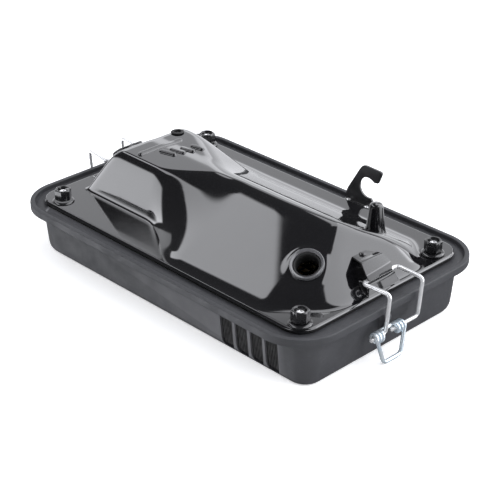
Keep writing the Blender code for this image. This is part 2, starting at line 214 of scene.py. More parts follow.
def skin(rings, wrap=False, caps=True):
    """Vertices and faces of a skin through equal rings of points."""
    rings = np.asarray(rings, float)
    count = rings.shape[1]
    total = rings.shape[0]
    verts = rings.reshape(-1, 3)
    faces = []
    for i in range(total if wrap else total - 1):
        low = i * count
        high = (i + 1) % total * count
        for j in range(count):
            k = (j + 1) % count
            faces.append((low + j, low + k, high + k, high + j))
    if caps and not wrap:
        faces.append(tuple(reversed(range(count))))
        faces.append(tuple(range((total - 1) * count, total * count)))
    return verts, faces


def merge(*parts):
    """Several (vertices, faces) pairs as one."""
    verts = np.concatenate([np.asarray(v, float) for v, _ in parts])
    faces = []
    start = 0
    for v, f in parts:
        faces += [tuple(i + start for i in face) for face in f]
        start += len(v)
    return verts, faces


def inset(plan, by, z):
    """Section of the tray at a height, drawn in from a plan size."""
    hx, hy, *radii = plan
    radii = radii * (4 // len(radii))
    return (hx - by, hy - by, *(r - by for r in radii), z)


def round_rect(section, steps=20):
    """Outline of a section: half lengths, one corner radius or four of them, and the height."""
    hx, hy, *radii, z = section
    radii = radii * (4 // len(radii))
    pts = []
    for k, (cx, cy) in enumerate(((1, 1), (-1, 1), (-1, -1), (1, -1))):
        r = radii[k]
        for i in range(steps + 1):
            a = math.radians(90.0 * k + 90.0 * i / steps)
            pts.append((cx * (hx - r) + r * math.cos(a), cy * (hy - r) + r * math.sin(a), z))
    return pts


def loft(sections, steps=16, wrap=False):
    return skin([round_rect(section, steps) for section in sections], wrap)


def lathe(profile, segments=48, wrap=False, across=None):
    """Skin of revolution about Z; with across, the radius is also held inside a hexagon."""
    turn = np.linspace(0, 2 * math.pi, segments, endpoint=False)
    rings = []
    for r, z in profile:
        radius = np.full(segments, max(r, 0.02))
        if across:
            off = (turn + math.pi / 6) % (math.pi / 3) - math.pi / 6
            radius = np.minimum(radius, across / 2 / np.cos(off))
        rings.append(np.stack([radius * np.cos(turn), radius * np.sin(turn),
                               np.full(segments, z)], 1))
    return skin(rings, wrap)


def aim(part, axis, at):
    """Turns a part's Z onto an axis and moves its origin to a point."""
    turn = Vector((0, 0, 1)).rotation_difference(Vector(axis).normalized()).to_matrix()
    return np.asarray(part[0]) @ np.array(turn).T + np.array(at, float), part[1]


def shift(part, at):
    return np.asarray(part[0]) + np.array(at, float), part[1]


def half_turn(part):
    """The same part at the other end of the housing."""
    return np.asarray(part[0]) * (-1, -1, 1), part[1]


def tube(path, radius, sides=16, wrap=False):
    """Round wire swept along a path with a steady frame."""
    pts = np.array(path, float)
    nxt = np.roll(pts, -1, 0)
    prv = np.roll(pts, 1, 0)
    if not wrap:
        nxt[-1] = pts[-1]
        prv[0] = pts[0]
    tangents = nxt - prv
    tangents /= np.linalg.norm(tangents, axis=1)[:, None]
    normal = np.cross(tangents[0], (0.3, 0.2, 0.93))
    normals = []
    for t in tangents:
        normal = normal - t * (normal @ t)
        normal /= np.linalg.norm(normal)
        normals.append(normal)
    normals = np.array(normals)
    if wrap:
        first = normals[0]
        last = normals[-1] - tangents[0] * (normals[-1] @ tangents[0])
        last /= np.linalg.norm(last)
        gap = math.atan2(np.cross(last, first) @ tangents[0], last @ first)
        spins = gap * np.arange(len(pts)) / len(pts)
    else:
        spins = np.zeros(len(pts))
    rings = []
    for p, t, n, spin in zip(pts, tangents, normals, spins):
        side = np.cross(t, n)
        a = np.linspace(0, 2 * math.pi, sides, endpoint=False) + spin
        rings.append(p + radius * (np.outer(np.cos(a), n) + np.outer(np.sin(a), side)))
    if not wrap:
        rings = [pts[0] + (rings[0] - pts[0]) * 0.6 - tangents[0] * 0.35 * radius] + rings
        rings.append(pts[-1] + (rings[-1] - pts[-1]) * 0.6 + tangents[-1] * 0.35 * radius)
    return skin(rings, wrap)


def plate(outline, low, high, axis="Y"):
    """Flat plate with an outline in X-Z and two Y faces, or in X-Y and two Z faces."""
    rings = []
    for level in (low, high):
        if axis == "Y":
            rings.append([(x, level, z) for x, z in outline])
        else:
            rings.append([(x, y, level) for x, y in outline])
    return skin(rings)


def add_piece(name, part, material, body, stands_for=(), sharp=35.0, bevel=0.0):
    """Links a part built in millimetres as one named piece that rides on a body."""
    verts, faces = part
    me = bpy.data.meshes.new(name)
    me.from_pydata((np.asarray(verts, float) * MM).tolist(), [], faces)
    bm = bmesh.new()
    bm.from_mesh(me)
    bmesh.ops.recalc_face_normals(bm, faces=bm.faces)
    bm.to_mesh(me)
    bm.free()
    ob = bpy.data.objects.new(name, me)
    bpy.context.scene.collection.objects.link(ob)
    me.materials.append(material)
    if bevel:
        mod = ob.modifiers.new("soft_edges", "BEVEL")
        mod.width = bevel * MM
        mod.segments = 3
        mod.limit_method = "ANGLE"
        mod.angle_limit = math.radians(30)
        bake_modifiers(ob)
    ob.data.shade_smooth()
    ob.data.set_sharp_from_angle(angle=math.radians(sharp))
    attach(ob, body)
    if stands_for:
        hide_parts(*stands_for)
    return ob


def bake_modifiers(ob):
    bpy.context.view_layer.update()
    deps = bpy.context.evaluated_depsgraph_get()
    me = bpy.data.meshes.new_from_object(ob.evaluated_get(deps))
    ob.modifiers.clear()
    old = ob.data
    ob.data = me
    me.name = old.name


def cut_away(ob, part):
    """Removes a part given in millimetres from a piece."""
    me = bpy.data.meshes.new("tool")
    me.from_pydata((np.asarray(part[0], float) * MM).tolist(), [], part[1])
    tool = bpy.data.objects.new("tool", me)
    bpy.context.scene.collection.objects.link(tool)
    bm = bmesh.new()
    bm.from_mesh(me)
    bmesh.ops.recalc_face_normals(bm, faces=bm.faces)
    bm.to_mesh(me)
    bm.free()
    mod = ob.modifiers.new("cut", "BOOLEAN")
    mod.operation = "DIFFERENCE"
    mod.solver = "EXACT"
    mod.object = tool
    bake_modifiers(ob)
    bpy.data.objects.remove(tool)


# ---------------------------------------------------------------- materials

class Shader:
    """A Principled material and short calls that wire its texture nodes."""

    def __init__(self, name, color, metallic=0.0, rough=0.5, **more):
        self.mat = bpy.data.materials.new(name)
        self.mat.use_nodes = True
        self.tree = self.mat.node_tree
        self.bsdf = self.tree.nodes["Principled BSDF"]
        self.set("Base Color", (*color, 1.0))
        self.set("Metallic", metallic)
        self.set("Roughness", rough)
        for key, value in more.items():
            self.set(key.replace("_", " "), value)
        self.place = self.node("TexCoord").outputs["Object"]
        self.last_bump = None

    def set(self, key, value):
        self.bsdf.inputs[key].default_value = value

    def node(self, kind, **fields):
        made = self.tree.nodes.new("ShaderNode" + kind)
        for key, value in fields.items():
            setattr(made, key, value)
        return made

    def link(self, out, into):
        self.tree.links.new(out, into)

    def stretched(self, scale):
        made = self.node("Mapping")
        made.inputs["Scale"].default_value = scale
        self.link(self.place, made.inputs["Vector"])
        return made.outputs["Vector"]

    def noise(self, scale, detail=3.0, rough=0.55, stretch=None):
        made = self.node("TexNoise")
        made.inputs["Scale"].default_value = scale
        made.inputs["Detail"].default_value = detail
        made.inputs["Roughness"].default_value = rough
        source = self.stretched(stretch) if stretch else self.place
        self.link(source, made.inputs["Vector"])
        return made.outputs["Fac"]

    def cells(self, scale, feature="F1"):
        made = self.node("TexVoronoi", feature=feature)
        made.inputs["Scale"].default_value = scale
        self.link(self.place, made.inputs["Vector"])
        return made.outputs["Distance"]

    def remap(self, value, low, high, to_low, to_high):
        made = self.node("MapRange")
        for key, number in zip(("From Min", "From Max", "To Min", "To Max"),
                               (low, high, to_low, to_high)):
            made.inputs[key].default_value = number
        self.link(value, made.inputs["Value"])
        return made.outputs["Result"]

    def vary_rough(self, value, low, high, to_low, to_high):
        self.link(self.remap(value, low, high, to_low, to_high), self.bsdf.inputs["Roughness"])

    def tint(self, share, color):
        """Lays a second colour over the base by a share socket."""
        made = self.node("Mix", data_type="RGBA")
        base = self.bsdf.inputs["Base Color"]
        if base.is_linked:
            self.link(base.links[0].from_socket, made.inputs[6])
        else:
            made.inputs[6].default_value = base.default_value
        made.inputs[7].default_value = (*color, 1.0)
        self.link(share, made.inputs[0])
        self.link(made.outputs[2], base)

    def bump(self, height, depth_mm, strength=1.0):
        made = self.node("Bump")
        made.inputs["Strength"].default_value = strength
        made.inputs["Distance"].default_value = depth_mm * MM
        self.link(height, made.inputs["Height"])
        if self.last_bump:
            self.link(self.last_bump, made.inputs["Normal"])
        self.last_bump = made.outputs["Normal"]
        self.link(self.last_bump, self.bsdf.inputs["Normal"])

    def edges(self, low, high):
        """Share that rises on worn outer edges."""
        geometry = self.node("NewGeometry")
        return self.remap(geometry.outputs["Pointiness"], low, high, 0.0, 1.0)


def gloss_plastic():
    s = Shader("cover_plastic", (0.0065, 0.0065, 0.0075), rough=0.05, IOR=1.5,
               Coat_Weight=1.0, Coat_Roughness=0.02, Coat_IOR=1.5)
    s.vary_rough(s.noise(60, 4), 0.3, 0.75, 0.05, 0.13)
    s.tint(s.remap(s.noise(28, 5, 0.7), 0.62, 0.85, 0.0, 0.35), (0.016, 0.017, 0.02))
    s.tint(s.remap(s.cells(420), 0.05, 0.035, 0.0, 0.25), (0.07, 0.07, 0.07))
    s.bump(s.noise(75, 2, 0.4), 0.012)
    s.bump(s.noise(900, 2), 0.0012)
    s.link(s.last_bump, s.bsdf.inputs["Coat Normal"])
    return s.mat


def grained_plastic():
    s = Shader("tray_plastic", (0.037, 0.038, 0.042), rough=0.62, IOR=1.48)
    s.tint(s.remap(s.noise(22, 5, 0.65), 0.35, 0.75, 0.0, 0.5), (0.06, 0.061, 0.067))
    s.tint(s.remap(s.noise(150, 4, 0.7, (1.0, 1.0, 6.0)), 0.6, 0.8, 0.0, 0.3), (0.12, 0.12, 0.127))
    s.tint(s.edges(0.53, 0.62), (0.2, 0.2, 0.21))
    s.vary_rough(s.noise(90, 4), 0.3, 0.7, 0.5, 0.68)
    s.bump(s.noise(1500, 3, 0.6), 0.03)
    s.bump(s.cells(2600), 0.012)
    return s.mat


def satin_black(name, rough, color=(0.012, 0.012, 0.013)):
    s = Shader(name, color, rough=rough, IOR=1.55, Coat_Weight=0.6, Coat_Roughness=rough * 0.7)
    s.vary_rough(s.noise(180, 4), 0.3, 0.7, rough * 0.75, rough * 1.35)
    s.tint(s.edges(0.56, 0.66), (0.1, 0.1, 0.1))
    s.tint(s.remap(s.noise(340, 4, 0.7), 0.66, 0.78, 0.0, 0.5), (0.05, 0.05, 0.05))
    s.bump(s.noise(700, 3), 0.008)
    return s.mat


def plated_wire(name, color, second, rough):
    s = Shader(name, color, metallic=1.0, rough=rough)
    s.tint(s.remap(s.noise(120, 3), 0.4, 0.65, 0.0, 0.8), second)
    s.tint(s.remap(s.noise(500, 4, 0.7), 0.63, 0.75, 0.0, 0.4), (0.3, 0.3, 0.3))
    # painted reflection: the wire is painted near black and less metallic where its surface turns
    # away from the camera, standing in for the dark surroundings it mirrors
    turned = s.node("LayerWeight").outputs["Facing"]
    s.tint(s.remap(turned, 0.72, 0.88, 0.0, 1.0), (0.02, 0.02, 0.022))
    s.link(s.remap(turned, 0.72, 0.88, 0.6, 0.0), s.bsdf.inputs["Metallic"])
    s.vary_rough(s.noise(260, 4), 0.3, 0.7, rough * 0.6, rough * 1.6)
    s.bump(s.noise(900, 3), 0.01)
    return s.mat


def soft_rubber(name, color, spot):
    s = Shader(name, color, rough=0.6)
    s.tint(s.remap(s.noise(70, 4), 0.45, 0.7, 0.0, 0.5), spot)
    s.vary_rough(s.noise(300, 3), 0.3, 0.7, 0.5, 0.75)
    s.bump(s.noise(1100, 3), 0.03)
    return s.mat


def pleat_paper():
    s = Shader("filter_paper", (0.74, 0.66, 0.45), rough=0.9)
    s.tint(s.remap(s.noise(900, 5, 0.7, (1.0, 0.15, 1.0)), 0.4, 0.7, 0.0, 0.5), (0.55, 0.47, 0.3))
    s.bump(s.noise(1600, 4), 0.04)
    s.bump(s.remap(s.noise(160, 2, 0.5, (0.1, 1.0, 1.0)), 0.4, 0.6, 0.0, 1.0), 0.08)
    return s.mat


def open_foam():
    s = Shader("foam", (0.07, 0.07, 0.078), rough=0.95)
    # painted shade: each pore is painted near black towards its middle, where the bump below sinks
    # it into a pit
    s.tint(s.remap(s.cells(900), 0.0, 0.55, 0.9, 0.0), (0.012, 0.012, 0.013))
    s.bump(s.cells(900), 0.4)
    return s.mat


def pressed_steel():
    s = Shader("screen_steel", (0.52, 0.53, 0.54), metallic=1.0, rough=0.38)
    s.tint(s.remap(s.cells(260), 0.1, 0.5, 0.0, 0.6), (0.36, 0.38, 0.4))
    s.vary_rough(s.noise(240, 4), 0.3, 0.7, 0.28, 0.5)
    s.bump(s.noise(800, 3), 0.01)
    return s.mat


MATS = {
    "cover_plastic": gloss_plastic(),
    "tray_plastic": grained_plastic(),
    "bracket_steel": satin_black("bracket_steel", 0.34, (0.03, 0.03, 0.032)),
    # painted highlight: the port lip is painted mid grey, far lighter than the black cover, to
    # stand in for the bright ring of light on its edge
    "lip_painted_highlight": satin_black("lip_painted_highlight", 0.2, (0.1, 0.1, 0.105)),
    "clip_steel": satin_black("clip_steel", 0.12),
    "nut_steel": satin_black("nut_steel", 0.16),
    "bright_steel": plated_wire("bright_steel", (0.93, 0.93, 0.93), (0.8, 0.81, 0.83), 0.14),
    "zinc_steel": plated_wire("zinc_steel", (0.78, 0.84, 0.88), (0.62, 0.74, 0.84), 0.12),
    "seal_rubber": soft_rubber("seal_rubber", (0.012, 0.012, 0.012), (0.03, 0.03, 0.03)),
    "filter_rubber": soft_rubber("filter_rubber", (0.014, 0.014, 0.015), (0.03, 0.03, 0.032)),
    "filter_paper": pleat_paper(),
    "foam": open_foam(),
    "screen_steel": pressed_steel(),
}


# ---------------------------------------------------------------- cover surface

def smin(a, b, k):
    h = np.maximum(k - np.abs(a - b), 0.0) / k
    return np.minimum(a, b) - h * h * k * 0.25


def smax(a, b, k):
    return -smin(-a, -b, k)


def smooth(t):
    t = np.clip(t, 0.0, 1.0)
    return t * t * (3 - 2 * t)


def slope_share(x):
    """0 in front of the block, 1 on the long slope."""
    return smooth((x - TURN_START) / TURN_LENGTH)


def front_face(x, y):
    """Steep wall in front of the block that opens out into the long slope."""
    share = slope_share(x)
    foot = WALL_FRONT * (1 - share) + SLOPE_FRONT * share
    run = (1 - share) / WALL_STEEP + share / SLOPE_STEEP
    return (y + foot) / run


def crown(x, y):
    """Slight roll-off of the long slope towards the outlet corner."""
    beyond = np.maximum(x - 47.0 + (y + 19.0) * 0.857, 0.0)
    return 0.0022 * beyond * beyond


def end_faces(x, y):
    """Sloping ends and the cut-off corners at the outlet end."""
    low = smin(RIGHT_STEEP * (RIGHT_END - x), LEFT_STEEP * (x - LEFT_END), 5.0)
    steep, reach = FRONT_CORNER
    front = steep * (reach - CORNER_TURN * x + CORNER_TURN * y)
    steep, reach = BACK_CORNER
    back = steep * (reach - CORNER_TURN * x - CORNER_TURN * y)
    return smin(smin(low, front, 8.0), back, 5.0)


def port_swell(x, y, height):
    """Turns the skin round the outlet port square to the port."""
    px, py, pz = PORT_AT
    ax, ay, az = PORT_AXIS
    far = np.hypot(x - px, y - py)
    flat = pz - FLANGE - PORT_SINK - (ax * (x - px) + ay * (y - py)) / az
    share = smooth((PORT_BLEND_R - far) / (PORT_BLEND_R - PORT_FLAT_R))
    return height + (flat - height) * share


def raised_step(reach, across, inner, outer, half, steep, top, soft):
    """Flat-topped step between two distances from the middle of the cover."""
    face = steep * np.minimum(outer - reach, half - np.abs(across))
    return np.maximum(np.minimum(smin(face, top, soft), 30.0 * (reach - inner)), -2.0)


def latch_seats(x, y, height):
    """Moulded steps that carry the bar of each bail and the foot of each clip."""
    reach = np.abs(x)
    across = y * np.sign(x)
    height = smax(height, raised_step(reach, across, **BAR_STEP), 1.2)
    return smax(height, raised_step(reach, across + 1.0, **CLIP_STEP), 1.0)


def spot_faces(x, y, height):
    """Flats under the washers."""
    for stud in STUDS:
        at = node_centre("stud_%d" % stud)
        far = np.hypot(x - at.x, y - at.y)
        height = height * smooth((far - SPOT_R) / 1.6)
    return height


def dome(x, y):
    """Height of the cover above its flange."""
    top = PLATEAU - FLANGE
    back = smin(BACK_STEEP * (BACK_FOOT - y), top, 4.0)
    block = smin(top, BLOCK_BACK_STEEP * (BLOCK_FOOT - y), 6.0)
    fall = SHOULDER_FALL[0] * (x - SHOULDER_AT[0])
    block = smin(block, top - fall - SHOULDER_FALL[1] * (y - SHOULDER_AT[1]), 6.0)
    height = smax(block, back, 4.0)
    round_off = 5.0 + 6.0 * (1 - slope_share(x))
    height = smin(height, front_face(x, y) - crown(x, y), round_off)
    height = smin(height, end_faces(x, y), round_off)
    height = port_swell(x, y, height)
    return smax(height, 0.0, 3.0)


def surface_at(x, y, step=2.0):
    """Point on the cover and the direction square to it."""
    dx = (dome(x + step, y) - dome(x - step, y)) / (2 * step)
    dy = (dome(x, y + step) - dome(x, y - step)) / (2 * step)
    return np.array((x, y, FLANGE + float(dome(x, y)))), np.array((-dx, -dy, 1.0), float)


def spaced(low, high, fine, coarse, busy):
    """Grid positions, closer together inside the busy ranges and packed at both ends."""
    out = [low + d for d in EDGE_STEPS]
    while out[-1] < high - EDGE_STEPS[-1] - coarse:
        here = out[-1]
        dense = any(a - coarse < here < b for a, b in busy)
        out.append(here + (fine if dense else coarse))
    out += [high - d for d in reversed(EDGE_STEPS)]
    return np.array(out)


def cover_points():
    """Grid of points over the cover, drawn in to its rounded plan and turned down at its rim."""
    hx, hy, r = COVER
    xs = spaced(-hx, hx, 0.55, 1.15, ((-123, -94), (94, 123)))
    ys = spaced(-hy, hy, 0.4, 1.1, ((-46, -34), (-15, -7), (7, 15)))
    x, y = np.meshgrid(xs, ys, indexing="ij")
    u = np.maximum((np.abs(x) - (hx - r)) / r, 0.0)
    v = np.maximum((np.abs(y) - (hy - r)) / r, 0.0)
    inside = (u > 0) & (v > 0)
    bx = np.where(inside, hx - r + r * u * np.sqrt(1 - v * v / 2), np.abs(x)) * np.sign(x)
    by = np.where(inside, hy - r + r * v * np.sqrt(1 - u * u / 2), np.abs(y)) * np.sign(y)
    qx = np.maximum(np.abs(bx) - (hx - r), 0.0)
    qy = np.maximum(np.abs(by) - (hy - r), 0.0)
    straight = np.minimum(hx - np.abs(bx), hy - np.abs(by))
    depth = np.where((qx > 0) & (qy > 0), r - np.hypot(qx, qy), straight)
    # a gentle chamfer, then a steeper one in the last fraction of a millimetre
    slope = smin(0.56 * (2.1 - depth), 0.9 + 1.6 * (0.3 - depth), 0.25)
    drop = np.minimum(smax(slope, 0.0, 0.3), EDGE_DROP)
    height = latch_seats(bx, by, spot_faces(bx, by, dome(bx, by)))
    return bx, by, FLANGE + height - drop


def underside(x, y, z):
    """Inner face of the cover, one shell thickness below the outer one."""
    points = np.stack([x, y, z], -1)
    gx = np.gradient(z, axis=0) / np.gradient(x, axis=0)
    gy = np.gradient(z, axis=1) / np.gradient(y, axis=1)
    out = np.stack([-np.clip(gx, -4, 4), -np.clip(gy, -4, 4), np.ones_like(z)], -1)
    out /= np.linalg.norm(out, axis=-1, keepdims=True)
    under = points - out * SHELL
    border = np.zeros(z.shape, bool)
    border[0] = border[-1] = border[:, 0] = border[:, -1] = True
    under[border] = points[border] - (0, 0, SHELL - EDGE_DROP)
    return under


def cover_skin():
    """Outer and inner face of the cover, joined round the rim and round the port."""
    x, y, z = cover_points()
    nx, ny = x.shape
    count = nx * ny
    number = np.arange(count).reshape(nx, ny)
    points = np.stack([x, y, z], -1)
    axis = np.array(PORT_AXIS) / np.linalg.norm(PORT_AXIS)
    off = points - np.array(PORT_AT)
    far = np.linalg.norm(off - (off @ axis)[..., None] * axis, axis=-1)
    faces = []
    rim = {}
    for i in range(nx - 1):
        for j in range(ny - 1):
            corners = ((i, j), (i + 1, j), (i + 1, j + 1), (i, j + 1))
            if all(far[c] < PORT_LIP_R - 0.3 for c in corners):
                continue
            top = tuple(int(number[c]) for c in corners)
            faces.append(top)
            faces.append(tuple(n + count for n in reversed(top)))
            for a, b in zip(top, top[1:] + top[:1]):
                if (b, a) in rim:
                    del rim[(b, a)]
                else:
                    rim[(a, b)] = True
    for a, b in rim:
        faces.append((b, a, a + count, b + count))
    verts = np.concatenate([points.reshape(-1, 3), underside(x, y, z).reshape(-1, 3)])
    used = sorted({n for f in faces for n in f})
    slot = {n: k for k, n in enumerate(used)}
    return verts[used], [tuple(slot[n] for n in f) for f in faces]


def build_cover():
    add_piece("cover_moulding", cover_skin(), MATS["cover_plastic"], "cover", ("cover",),
              sharp=50.0)
    lip = soften_loop([(PORT_R, -9.0), (PORT_R, 0.3), (PORT_LIP_R - 0.4, 1.05),
                       (PORT_LIP_R, 0.7), (PORT_LIP_R + 0.3, -9.0)], [0.4, 0.5, 0.4, 0.4, 0.4], 6)
    add_piece("cover_port_lip", aim(lathe(lip, 72, wrap=True), PORT_AXIS, PORT_AT),
              MATS["lip_painted_highlight"], "cover")
    post = soften([(0.0, 40.0), (7.6, 40.0), (6.0, 46.0), (4.2, 62.6), (0.0, 63.2)],
                  [0.5, 4.0, 3.6], 7)
    add_piece("cover_post", shift(lathe(post, 40), (*POST_AT, 0)), MATS["cover_plastic"], "cover")
    for stud in STUDS:
        at = node_centre("stud_%d" % stud)
        boss = soften([(0.0, 33.0), (4.2, 33.0), (4.2, 30.2), (3.3, 30.2), (3.3, 33.4)], 0.3, 3)
        add_piece("cover_boss_%d" % stud, shift(lathe(boss[1:], 32), (at.x, at.y, 0)),
                  MATS["cover_plastic"], "cover")


def rib_patch(centre, length, width, turn, rise, cells=(60, 16)):
    """Raised rounded bar that grows out of the cover skin."""
    u = np.linspace(-1, 1, cells[0])
    v = np.linspace(-1, 1, cells[1])
    uu, vv = np.meshgrid(u, v, indexing="ij")
    lx = uu * (length / 2 + 0.6)
    ly = vv * (width / 2 + 0.6)
    core = max(length - width, 0.0) / 2
    far = np.hypot(np.maximum(np.abs(lx) - core, 0.0), ly)
    lift = rise * smooth((width / 2 + 0.35 - far) / 1.0) - 0.12
    c, s = math.cos(turn), math.sin(turn)
    x = centre[0] + lx * c - ly * s
    y = centre[1] + lx * s + ly * c
    top = np.stack([x, y, FLANGE + dome(x, y) + lift], -1)
    low = top.copy()
    low[..., 2] = FLANGE + dome(x, y) - 0.8
    n, m = cells
    number = np.arange(n * m).reshape(n, m)
    faces = []
    for i in range(n - 1):
        for j in range(m - 1):
            quad = (number[i, j], number[i + 1, j], number[i + 1, j + 1], number[i, j + 1])
            faces.append(tuple(int(q) for q in quad))
            faces.append(tuple(int(q) + n * m for q in reversed(quad)))
    loop = list(number[:, 0]) + list(number[-1, 1:]) + list(number[-2::-1, -1])
    loop += list(number[0, -2:0:-1])
    for a, b in zip(loop, loop[1:] + loop[:1]):
        faces.append((int(b), int(a), int(a) + n * m, int(b) + n * m))
    return np.concatenate([top.reshape(-1, 3), low.reshape(-1, 3)]), faces


def build_ribs():
    """Plain raised bars on the plateau."""
    quarter = math.pi / 2
    bars = [((-67.6, -10.0), 38.0, 4.0, quarter)]
    for k in range(4):
        bars.append(((-56.5 + 1.9 * k, -13.0 + 7.0 * k), 13.0 - 0.8 * k, 3.8, 0.25))
    parts = [rib_patch(c, length, width, turn, 1.3) for c, length, width, turn in bars]
    add_piece("cover_plateau_ribs", merge(*parts), MATS["cover_plastic"], "cover", sharp=60.0)


def build_cover_fittings():
    ring = soften_loop([(7.0, -9.3), (7.0, -1.6), (7.5, -0.5), (8.35, -0.5), (8.35, -9.3)], 0.25, 3)
    add_piece("outlet_grommet", aim(lathe(ring, 64, wrap=True), PORT_AXIS, PORT_AT),
              MATS["seal_rubber"], "cover", ("port_grommet",))
    at = node_centre("top_plug")
    point, normal = surface_at(at.x, at.y)
    plug = soften([(0.0, -5.2), (3.1, -5.0), (3.1, 0.35), (4.6, 0.35), (4.5, 0.8), (3.4, 1.2),
                   (2.6, 1.0), (2.4, -0.9), (1.0, -0.9), (0.7, 0.2), (0.0, 0.2)], 0.25, 4)
    add_piece("plateau_plug", aim(lathe(plug, 40), normal, point), MATS["seal_rubber"], "cover",
              ("top_plug",))


# ---------------------------------------------------------------- tray

def build_tray():
    profile = [inset(WALL_FOOT, 1.8, 0.0), inset(WALL_FOOT, 0.3, 0.8),
               inset(WALL_FOOT, -0.1, 3.4), inset(WALL_TOP, 0.0, RIM_LOW), inset(RIM, 0.0, RIM_LOW),
               inset(RIM, 0.0, RIM_TOP), inset(LIP, 0.0, RIM_TOP), inset(LIP, 0.0, LEDGE - 0.5),
               inset(LIP, 3.4, LEDGE), inset(OPENING, 0.0, LEDGE), inset(OPENING, 0.0, RIM_LOW),
               inset(WALL_TOP, WALL, RIM_LOW), inset(WALL_FOOT, 2.4, FLOOR),
               inset((20.0, 20.0, 5.0), 0.0, FLOOR)]
    radii = [0.9, 1.4, 1.4, 0.7, 1.1, 0.9, 0.5, 0.4, 0.8, 0.5, 0.8, 2.4]
    rings = [round_rect(section) for section in soften(profile, radii, 5)]
    tray = add_piece("tray_moulding", skin(rings), MATS["tray_plastic"], "tray", ("tray",),
                     sharp=40.0)
    for x0, x1 in SLOT_EDGES:
        outline = soften_loop([(x0, 1.4), (x1, 1.4), (x1, RIM_LOW - 0.6), (x0, RIM_LOW - 0.6)],
                              [5.0, 0.4, 0.4, 0.6], 6)
        cut_away(tray, plate(outline, -90.0, -66.8))
    tray.data.shade_smooth()
    tray.data.set_sharp_from_angle(angle=math.radians(40.0))
    rib = loft([(110.0, 1.2, 0.6, FLOOR - 0.4), (110.0, 1.2, 0.6, 4.3), (109.6, 0.8, 0.4, 4.6)], 3)
    ribs = [shift(rib, (0, y, 0)) for y in RIB_ROWS]
    ledge = [(118.0, 67.0, 9.0, FLOOR - 0.4), (118.0, 67.0, 9.0, 7.8), (117.6, 66.6, 8.6, 8.0),
             (116.0, 65.0, 7.4, 8.0), (115.6, 64.6, 7.0, 7.8), (115.6, 64.6, 7.0, FLOOR - 0.4)]
    add_piece("tray_inner_ribs", merge(*ribs, loft(ledge, 10, wrap=True)), MATS["tray_plastic"],
              "tray")
    build_louvre_grille()
    outline = [(129.6, 14.8), (132.0, 15.4), (133.7, 19.2), (135.9, 23.9), (135.9, 25.6),
               (133.6, RIM_LOW + 0.3), (129.6, RIM_LOW + 0.3)]
    nose = plate(outline, -13.9, -8.9)
    add_piece("latch_nose_right", nose, MATS["tray_plastic"], "tray", bevel=0.5)
    add_piece("latch_nose_left", half_turn(nose), MATS["tray_plastic"], "tray", bevel=0.5)


def build_louvre_grille():
    """Fine upright slats let into the inner face of the louvred wall."""
    slats = []
    foot = 4.4
    lean = (WALL_TOP[1] - WALL_FOOT[1]) / (RIM_LOW - foot)
    for x0, x1 in SLOT_EDGES:
        for i in range(SLATS_PER_SLOT):
            x = x0 + (x1 - x0) * (i + 0.5) / SLATS_PER_SLOT
            slat = []
            for z in (2.6, RIM_LOW - 0.2):
                y = -(WALL_FOOT[1] - 0.9 + lean * (z - foot))
                slat.append([(x - SLAT_HALF, y, z), (x + SLAT_HALF, y, z),
                             (x + SLAT_HALF, y + SLAT_DEPTH, z),
                             (x - SLAT_HALF, y + SLAT_DEPTH, z)])
            slats.append(skin(slat))
    add_piece("louvre_grille", merge(*slats), MATS["seal_rubber"], "tray")


# ---------------------------------------------------------------- fastenings

def thread_profile(r, low, high, pitch=1.0):
    """Outline of a screw thread drawn as fine rings."""
    pts = []
    z = low
    while z < high - pitch:
        root = r - THREAD_DEPTH
        pts += [(root, z), (root, z + 0.12), (r, z + pitch * 0.5), (r, z + pitch * 0.62)]
        z += pitch
    return pts


def build_fastener(number):
    """Stud, washer and nut at one corner of the cover."""
    at = node_centre("stud_%d" % number)
    here = (at.x, at.y, 0)
    stud = [(0.0, 26.3), (4.6, 26.3), (5.0, 26.6), (5.0, 27.3), (4.7, 27.5), (STUD_R, 27.5)]
    stud += thread_profile(STUD_R, 28.0, 41.2) + [(STUD_R - 0.2, 41.6), (STUD_R - 0.8, 42.2),
                                                  (1.2, 42.3), (0.9, 41.9), (0.0, 41.8)]
    stud = add_piece("flange_stud_%d" % number, shift(lathe(stud, 32), here),
                     MATS["bright_steel"], "cover", ("stud_%d" % number,), sharp=30.0)
    washer = soften_loop([(3.3, 34.45), (7.4, 34.45), (7.4, 35.3), (6.7, 35.9), (6.2, 36.1),
                          (3.3, 36.1)], 0.25, 3)
    washer = add_piece("flat_washer_%d" % number, shift(lathe(washer, 48, wrap=True), here),
                       MATS["nut_steel"], "cover", ("washer_%d" % number,))
    bore = STUD_R + 0.3
    nut = [(bore, 36.4), (4.75, 36.4), (5.8, 36.95), (5.8, 43.25), (4.75, 43.8), (3.9, 43.8),
           (3.3, 42.5), (bore, 42.1)]
    turned = lathe(nut, 72, wrap=True, across=NUT_FLATS)
    angle = NUT_TURN * number
    c, s = math.cos(angle), math.sin(angle)
    turned = (turned[0] @ np.array(((c, s, 0), (-s, c, 0), (0, 0, 1.0))), turned[1])
    nut = add_piece("hex_nut_%d" % number, shift(turned, here), MATS["nut_steel"], "cover",
                    ("nut_%d" % number,), sharp=28.0, bevel=0.18)
    if number == MUTED_STUD:
        for part in (stud, washer, nut):
            part.visible_glossy = False


# ---------------------------------------------------------------- hook bracket

